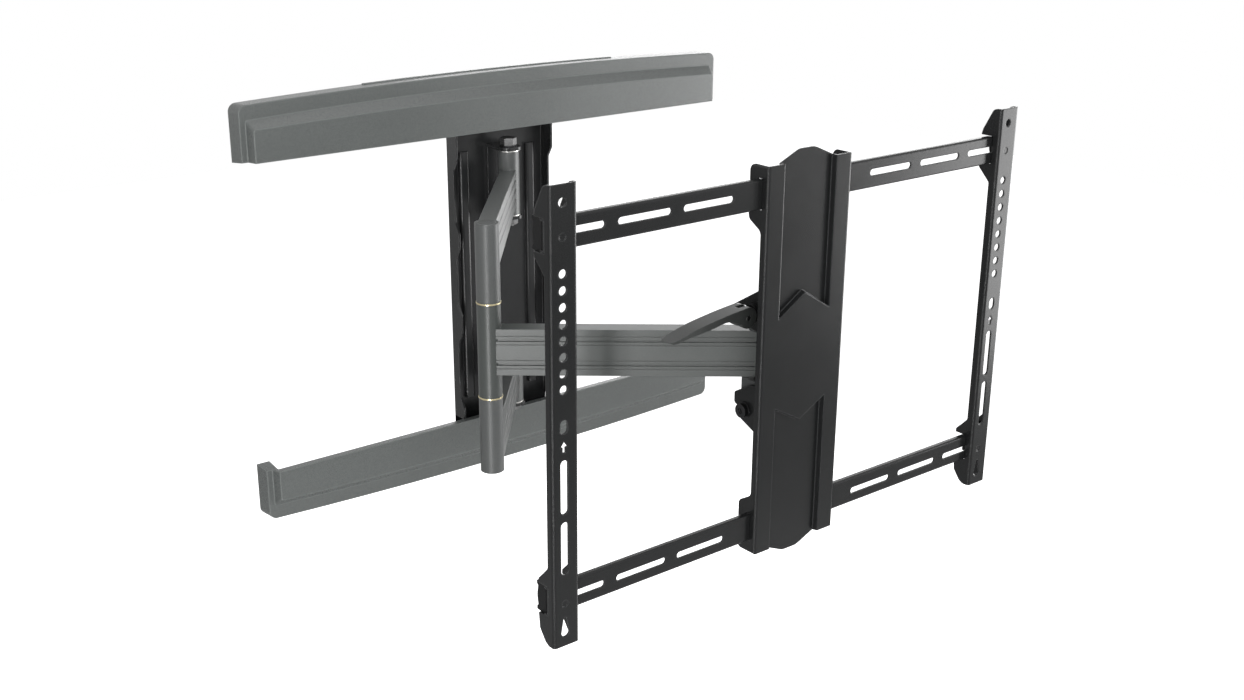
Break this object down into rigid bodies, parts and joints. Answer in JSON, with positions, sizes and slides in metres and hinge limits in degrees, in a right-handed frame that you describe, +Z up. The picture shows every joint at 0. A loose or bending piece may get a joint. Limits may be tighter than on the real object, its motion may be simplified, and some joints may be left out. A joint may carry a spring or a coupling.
{
  "type": "swivel tv wall mount",
  "caption": "Full-motion wall mount for a flat display: folding double arm on a wall plate with long covers, tilting head, centre plate and sliding uprights",
  "frame": {"origin": "middle of the wall plate's back face, on the wall plane", "axes": "+X runs right along the wall seen from the room, +Y goes into the wall, +Z is up; the display side faces -Y"},
  "size_m": [0.7087, 0.4532, 0.4802],
  "materials": {
    "wall_steel": "black powder coat, satin",
    "cover_plastic": "dark grey moulded plastic, fine texture",
    "inner_arm_metal": "grey powder coat, satin",
    "outer_arm_metal": "grey powder coat, satin",
    "head_metal": "dark powder coat, satin",
    "display_steel": "dark grey powder coat, fine texture",
    "bright_steel": "plain zinc plated",
    "dark_steel": "blackened",
    "bush_brass": "plain",
    "black_plastic": "black moulded",
    "lever_metal": "grey powder coat, satin"
  },
  "bodies": {
    "wall_frame": {"wall_plate": "wall_steel", "upper_wall_rail": "wall_steel", "lower_wall_rail": "wall_steel", "rail_rivets": "bright_steel", "upper_cover": "cover_plastic", "lower_cover": "cover_plastic", "upper_pivot_bracket": "wall_steel", "lower_pivot_bracket": "wall_steel", "upper_pivot_bolt": "bright_steel", "lower_pivot_bolt": "bright_steel", "pivot_nut": "bright_steel", "dome_nut": "bright_steel", "pivot_washers": "dark_steel"},
    "inner_arm": {"upper_inner_arm": "inner_arm_metal", "lower_inner_arm": "inner_arm_metal", "pivot_bushes": "bright_steel", "elbow_shaft": "bright_steel", "elbow_caps": "black_plastic"},
    "outer_arm": {"outer_arm": "outer_arm_metal", "elbow_bushes": "bush_brass", "pan_washers": "bush_brass"},
    "swivel_head": {"swivel_head": "head_metal", "pan_bolt": "bright_steel", "tilt_bolt": "bright_steel", "tilt_washers": "dark_steel", "side_nuts": "bright_steel", "clamp_bolt": "bright_steel", "clamp_saddle": "black_plastic"},
    "tilt_lever": {"tilt_lever": "lever_metal", "lever_pin": "bright_steel"},
    "display_frame": {"centre_plate": "display_steel", "tilt_bracket": "display_steel", "upper_crossbar": "display_steel", "lower_crossbar": "display_steel"},
    "left_rail": {"left_upright": "display_steel", "left_clips": "black_plastic"},
    "right_rail": {"right_upright": "display_steel", "right_clips": "black_plastic"}
  },
  "joints": [
    {"name": "wall_swing", "type": "hinge", "parent": "wall_frame", "child": "inner_arm", "pos_m": [0, -0.029, 0], "axis": [0, 0, 1], "range_deg": [-48, 128]},
    {"name": "elbow_swing", "type": "hinge", "parent": "inner_arm", "child": "outer_arm", "pos_m": [-0.1604, -0.2231, 0], "axis": [0, 0, 1], "range_deg": [-90, 35]},
    {"name": "head_swivel", "type": "hinge", "parent": "outer_arm", "child": "swivel_head", "pos_m": [0.06516, -0.40297, 0], "axis": [0, 0, 1], "range_deg": [-20, 55]},
    {"name": "display_tilt", "type": "hinge", "parent": "swivel_head", "child": "display_frame", "pos_m": [0.06516, -0.39967, -0.0684], "axis": [1, 0, 0], "range_deg": [-5, 12]},
    {"name": "lever_swing", "type": "hinge", "parent": "swivel_head", "child": "tilt_lever", "pos_m": [0.02016, -0.40917, 0.04], "axis": [0, 1, 0], "range_deg": [0, 90]},
    {"name": "left_rail_slide", "type": "slide", "parent": "display_frame", "child": "left_rail", "axis": [1, 0, 0], "range_m": [0, 0.2]},
    {"name": "right_rail_slide", "type": "slide", "parent": "display_frame", "child": "right_rail", "axis": [-1, 0, 0], "range_m": [0, 0.2]}
  ]
}
